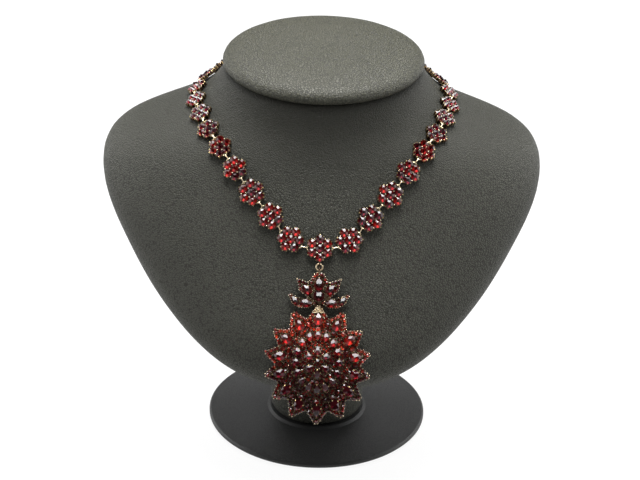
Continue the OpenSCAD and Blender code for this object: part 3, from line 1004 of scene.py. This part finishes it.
def cup_mesh(length, width, deep, outline):
    """A hollow collet that narrows from its rim at the girdle down to the plate."""
    bm = bmesh.new()
    corners = [bm.verts.new(Vector((x * 0.4 * width, y * 0.4 * length, -deep)) * MM)
               for x, y in outline(16)]
    rim = raise_face(bm, bm.faces.new(corners), keep=True)
    bmesh.ops.scale(bm, verts=rim.verts, vec=(1.3, 1.3, 0.02 / deep))
    bmesh.ops.inset_region(bm, faces=[rim], thickness=0.1 * MM, use_even_offset=True)
    hollow = raise_face(bm, rim)
    bmesh.ops.scale(bm, verts=hollow.verts, vec=(0.75, 0.75, 1))
    bmesh.ops.translate(bm, verts=hollow.verts, vec=(0, 0, (0.12 - deep) * MM))
    bmesh.ops.recalc_face_normals(bm, faces=bm.faces)
    return into_mesh(bm, "collet")


print("brightness on the crown:", painted_light_at(pendant_frame))

# %% Set the drops
gems = []  # frame, length, width and outline of each stone of the pendant
collets, pendant_claws = Piece(), Piece()


def set_drops(name, node, claws, crown, depth, lift, stand, dim, grow=GROW, glint=0.78,
              flatter=1.0):
    """Cuts the stones of a node, `crown` high over and `depth` deep under the girdle, and
    gives each a collet and claws, at turns in degrees from the drop's point."""
    piece = Piece()
    for matrix, length, width in measure_stones(node):
        is_round = length < width * 1.08
        share = 1.04 if is_round else grow
        length, width = length * share, width * share
        if is_round:
            outline, matrix = ring, facet_up(matrix)
            levels = round_levels(SIDES, crown, depth)
        else:
            outline = drop
            off_middle = abs(matrix.translation.x) > 1 * MM
            levels = drop_levels(crown * (flatter if off_middle else 1), depth)
        up = matrix @ Matrix.Translation(Vector((0, 0, lift * MM)))
        # The stone's colour carries painted light from its height on the pendant.
        cut_stone(piece, up, length, width, levels, tone_of(painted_light_at(up) - dim, 0.15), glint)
        stamp(collets, cup_mesh(length, width, lift + stand, outline), up)
        for turn in claws:
            x, y = outline(360, turn)[0]
            place = (x * 0.53 * width, y * 0.52 * length)
            inwards = math.degrees(math.atan2(place[0], -place[1]))
            set_claw(pendant_claws, up, *place, -0.1, inwards)
        gems.append((up, length, width, outline))
    piece.finish(name, garnet, "pendant", "garnet", replaces=[node])


set_drops("petal_garnets", "petal_stones", (0, 65, 115, 180, 245, 295),
          crown=1.6, depth=0.9, lift=0.5, stand=0.8, dim=0.17)
set_drops("tier_garnets", "tier_stones_ring", (0, 90, 155, 205, 270),
          crown=1.2, depth=0.75, lift=0.4, stand=0.7, dim=0.2)
set_drops("top_garnets", "top_stones", (0, 72, 144, 216, 288),
          crown=1.1, depth=0.7, lift=0.4, stand=0.6, dim=0.26)
set_drops("crown_garnets", "crown_stones", (0, 70, 125, 180, 235, 290),
          crown=2.2, depth=0.7, lift=0.6, stand=0.1, dim=0.22, grow=1.17, glint=0.7,
          flatter=0.66)

# %% [markdown]
# ## The small stones
#
# Round the drops lie many seeds, the smallest cut stones. They follow the petals' edges
# and fill the valleys between them, so their places come from the star's own outline: an
# oval of fourteen petals.

# %% The star's outline
PETALS = 14
STAR_A, STAR_B, STAR_MIDDLE = 25.1, 28.0, -46.1  # half sizes and height of the oval
VALLEY, HEART = 0.8, 0.7  # how far out valleys and petal stones lie, as shares
SEED = 1.7


def even_turn(turn):
    """Corrects a turn from the oval's top, so that even turns give even steps."""
    return turn + 4.2 * math.sin(math.radians(2 * turn))


def on_oval(turn, a, b, up=0.0):
    """The point at a turn of an oval round the star's middle. Half sizes a and b."""
    angle = math.radians(turn)
    return Vector((a * math.sin(angle), b * math.cos(angle) + STAR_MIDDLE + up))


def in_star(number, share):
    """The point of the star at a petal's number and a share of the way out."""
    return on_oval(even_turn(360 * number / PETALS), STAR_A * share, STAR_B * share)


def petal_edges(number):
    """A petal's tip, its way inwards and its two edges: corner, valley, way inwards."""
    turn = even_turn(360 * number / PETALS)
    tip, heart = in_star(number, 1), in_star(number, HEART)
    across = Vector((STAR_A * math.cos(math.radians(turn)),
                     -STAR_B * math.sin(math.radians(turn)))).normalized()
    edges = []
    for way in (-1, 1):
        corner = tip + across * 0.75 * way
        valley = in_star(number + way / 2, VALLEY)
        edge = (valley - corner).normalized()
        inwards = Vector((-edge.y, edge.x))
        if inwards.dot(heart - corner) < 0:
            inwards = -inwards
        edges.append((corner, valley, inwards))
    return tip, (heart - tip).normalized(), edges


print("first petal:", [round(v, 1) for v in petal_edges(0)[0]])

# %% Places of the small stones
seeds = []  # place, diameter and how much redder than its neighbours
for number in range(PETALS):
    tip, down, edges = petal_edges(number)
    bare = number == 0  # the top petal's tip is plain metal
    if not bare:
        seeds.append((tip + down * 1.3, SEED, 0.1))
    for corner, valley, inwards in edges:
        for share in (0.6, 0.84) if bare else (0.36, 0.6, 0.84):
            seeds.append((corner.lerp(valley, share) + inwards * 0.95, SEED, 0.1))
    seeds += [(in_star(number, 0.61), 2.2, 0.15), (in_star(number + 0.5, 0.7), 2.4, 0),
              (in_star(number + 0.5, 0.59), SEED, 0)]
for number in range(9):
    seeds.append((on_oval(116 + 16 * number, 8.0, 9.4, 1.6), 1.9, 0.25))
print("small stones of the star:", len(seeds))

# %% The crown's and the wings' edges
CROWN = [(0.7, -2.2), (2.6, -3.4), (4.6, -7.2), (10.7, -5.2), (9.4, -11), (5.2, -14.6)]
WING = [(12.6, -12.9), (14.4, -13.4), (12.8, -17), (9.4, -19.2), (5.6, -19.4),
        (1.5, -17.3)]


def walk(corners, step, inset, side):
    """Points along a row of corners, each moved inwards by the inset."""
    points, rest = [], step / 2
    for a, b in zip(corners, corners[1:]):
        a, b = Vector(a), Vector(b)
        edge = (b - a).normalized()
        inwards = Vector((edge.y, -edge.x))
        while rest < (b - a).length:
            place = a + edge * rest + inwards * inset
            points.append(Vector((place.x * side, place.y)))
            rest += step
        rest -= (b - a).length
    return points


for side in (-1, 1):
    for line, size in ((CROWN, 1.45), (WING, 1.2)):
        for place in walk(line, size * 1.2, size * 0.55, side):
            seeds.append((place, size, 0.1))
print("with the crown's:", len(seeds))

# %% Cut the small stones
small = Piece()
for place, size, redder in seeds:
    lift = 0.3 * size
    seat = laid_on(place.x, place.y, random.uniform(0, 60), lift)
    if seat is None:
        continue
    large = size > 2
    if large:
        seat = facet_up(seat)
    levels = round_levels(SIDES if large else 6, 0.33 * size, 0.27 * size)
    # Painted light: the small stones are painted brighter higher up the star.
    painted_brightness = painted_light_at(seat)
    cut_stone(small, seat, size, size, levels, tone_of(1.15 * painted_brightness + redder, 0.35),
              0.9 if random.random() < 2 * painted_brightness else None)
    gems.append((seat, size, size, ring))
small.finish("seed_garnets", garnet, "pendant", "garnet")

# %% [markdown]
# ## The gaps between the stones
#
# On the real pendant no plain plate shows: smaller stones and grains of metal fill what
# the larger ones leave. So a net of points is laid over it, and a point that lies under
# no stone gets one. Comparing it with all stones would be slow, so each stone is noted
# under the squares of a coarse grid that it may touch.

# %% Tell where stones already lie
REACH = 6  # the squares' width in millimetres
seats_near = {}


def add_gem(seat, length, width, outline):
    """Notes a stone under every square of the net that it may touch."""
    middle = pendant_inverse @ seat.translation / MM
    flat = seat.inverted() @ pendant_frame
    flat.translation = flat.translation / MM
    first, last = [[round((c + way * length) / REACH) for c in middle.xy]
                   for way in (-1, 1)]
    for i in range(first[0], last[0] + 1):
        for j in range(first[1], last[1] + 1):
            seats_near.setdefault((i, j), []).append((flat, length, width, outline))


def covered(point, margin):
    """Tells whether a point of the pendant lies under a stone, or in its margin."""
    square = round(point.x / REACH), round(point.y / REACH)
    for flat, length, width, outline in seats_near.get(square, ()):
        local = flat @ point
        y = local.y / (length / 2 + margin)
        if abs(y) < 1:
            half = math.sqrt(1 - y * y)
            if outline is drop:
                half *= drop_width(y)
            if abs(local.x) / (width / 2 + margin) < half:
                return True
    return False


PENDANT_LONG, PENDANT_HALF = 76, 26
ROW = 0.866  # the height of a triangle with sides of 1


def net_points(step, shake):
    """A net of equal triangles over the pendant, as frames on its surface and points."""
    for row in range(int(PENDANT_LONG / step / ROW)):
        for column in range(int(-PENDANT_HALF / step), int(PENDANT_HALF / step) + 1):
            x = (column + 0.5 * (row % 2)) * step + random.uniform(-shake, shake)
            y = -row * step * ROW + random.uniform(-shake, shake)
            seat = laid_on(x, y)
            if seat and seat.col[2].xyz.dot(face_out) > 0.5:
                yield seat, pendant_inverse @ seat.translation / MM


for gem in gems:
    add_gem(*gem)
print("squares with stones:", len(seats_near))

# %% Fill the plates with the smallest stones
STAR_TOP = -21.5
filler = Piece()
for seat, point in net_points(0.45, 0.05):
    size = random.uniform(1.15, 1.5)
    if point.y < STAR_TOP and not covered(point, size * 0.47):
        seat = seat @ Matrix.Translation((0, 0, 0.3 * MM))
        # Painted light: the smallest stones, too, are painted brighter higher up the star.
        cut_stone(filler, seat, size, size, round_levels(6, 0.33 * size, 0.28),
                  tone_of(1.2 * painted_light_at(seat) - 0.05, 0.4))
        add_gem(seat, size, size, ring)
filler.finish("filler_garnets", garnet, "pendant", "garnet")

# %% [markdown]
# ## Grains
#
# The small stones are held by grains of metal that are raised out of the plate and
# pushed over their edges. A finer net puts a grain wherever no stone lies. As painted
# light, more of them are bright in the upper half, and the rest take a gilt that is
# painted shade.

# %% Raise the grains
bright_grains, shaded_grains = Piece(), Piece()


def on_bar(point):
    """Tells whether a point lies on the bare bar and tip below the crown."""
    return -21.4 < point.y < -16.4 and abs(point.x) < 2.8


for seat, point in net_points(0.4, 0.05):
    size = random.uniform(0.2, 0.32)
    if not on_bar(point) and not covered(point, 0.1):
        # Painted light and shade: grains high on the star are more often bright, and lower
        # ones shaded.
        kind = bright_grains if random.random() < painted_light_at(seat) * 0.8 else shaded_grains
        height = random.uniform(0.55, 0.75)
        stamp(kind, BEAD, seat @ Matrix.Diagonal((size, size, height, 1)))
        add_gem(seat, 1.5 * size + 0.55, 1.5 * size + 0.55, ring)
print("faces of the bright grains:", len(bright_grains.bm.faces))


# %% Beads along the outline and on the bare tip
def set_grain(place, width, height):
    """A bright grain at a point of the pendant, where metal lies under it."""
    seat = laid_on(*place)
    if seat:
        stamp(bright_grains, BEAD, seat @ Matrix.Diagonal((width, width, height, 1)))


for number in range(PETALS):
    for corner, valley, inwards in petal_edges(number)[2]:
        for share in (0.02, 0.24, 0.48, 0.72, 0.96):
            set_grain(corner.lerp(valley, share) + inwards * 0.2, 0.3, 0.55)
for side in (-1, 1):
    for place in walk(CROWN, 1.3, 0.2, side) + walk(WING, 1.2, 0.2, side):
        set_grain(place, 0.33, 0.6)
for row in range(6):  # the bare tip widens downwards from 0.7 mm
    half = 0.35 + 0.47 * row
    for x in np.linspace(-half, half, round(2 * half / 0.62) + 1):
        set_grain((x, -18.4 - row * 0.58), 0.3, 0.3)
bright_grains.finish("bright_grains", bright_gilt, "pendant", "gilt", smooth=80)
shaded_grains.finish("shaded_grains", shaded_gilt, "pendant", "gilt", smooth=80)
# The collets take the toned gilt: partly patina, partly painted shade under the stones.
collets.finish("pendant_collets", toned_and_shaded_gilt, "pendant", "gilt")
pendant_claws.finish("pendant_claws", gilt, "pendant", "gilt", smooth=50)

# %% [markdown]
# ## The studio
#
# The table is as white as the background, so the floor glows by itself. The lamps are
# wide, because small ones would give hard shadows. The flashing facets mirror the one
# overhead. A second behind it lights the cap's top and the shoulders' upper edge, one at
# each side shapes the flanks and the foot, and a weak one at the front opens the shadows.


# %% Floor
floor_bm = bmesh.new()
bmesh.ops.create_grid(floor_bm, x_segments=1, y_segments=1, size=6)
floor = add_object("floor", into_mesh(floor_bm, "floor"))
pale = Finish("pale floor", Base_Color=(0.05, 0.05, 0.05, 1), Roughness=0.8,
              Emission_Color=(1, 1, 1, 1), Emission_Strength=0.92)
floor.data.materials.append(pale.material)
floor.location.z = -0.2 * MM
floor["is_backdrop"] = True
print("floor:", floor.name)


# %% Lamps and room
def lamp(name, place, target, size, power):
    """A wide lamp with its power in watts that looks from a place at a target."""
    light = add_object(name, bpy.data.lights.new(name, "AREA"))
    light.data.shape = "RECTANGLE"
    light.data.size, light.data.size_y = size
    light.data.energy = power
    light.location = place
    way = Vector(target) - Vector(place)
    light.rotation_euler = way.to_track_quat("-Z", "Y").to_euler()


lamp("overhead", (0, 0.1, 1.4), (0, 0.1, 0.1), (0.9, 0.7), 36)
lamp("behind", (0, 0.55, 1.3), (0, 0, 0.1), (1.2, 0.8), 25)
for side in (-1, 1):
    lamp("side", (side * 1.2, 0.3, 0.5), (0, 0, 0.13), (1.8, 1.0), 20)
lamp("front", (0, -1.1, 1.1), (0, 0, 0.1), (1.2, 1.2), 3)
room = bpy.data.worlds.new("room")
room.use_nodes = True
air = room.node_tree.nodes["Background"].inputs
air["Color"].default_value = (1, 1, 1, 1)
air["Strength"].default_value = 0.05
scene.world = room

# %% Measure the sizes and finish
boxes = {"cad": cad_box, "visual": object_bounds()}
{k: [list(corner) for corner in box] for k, box in boxes.items()}
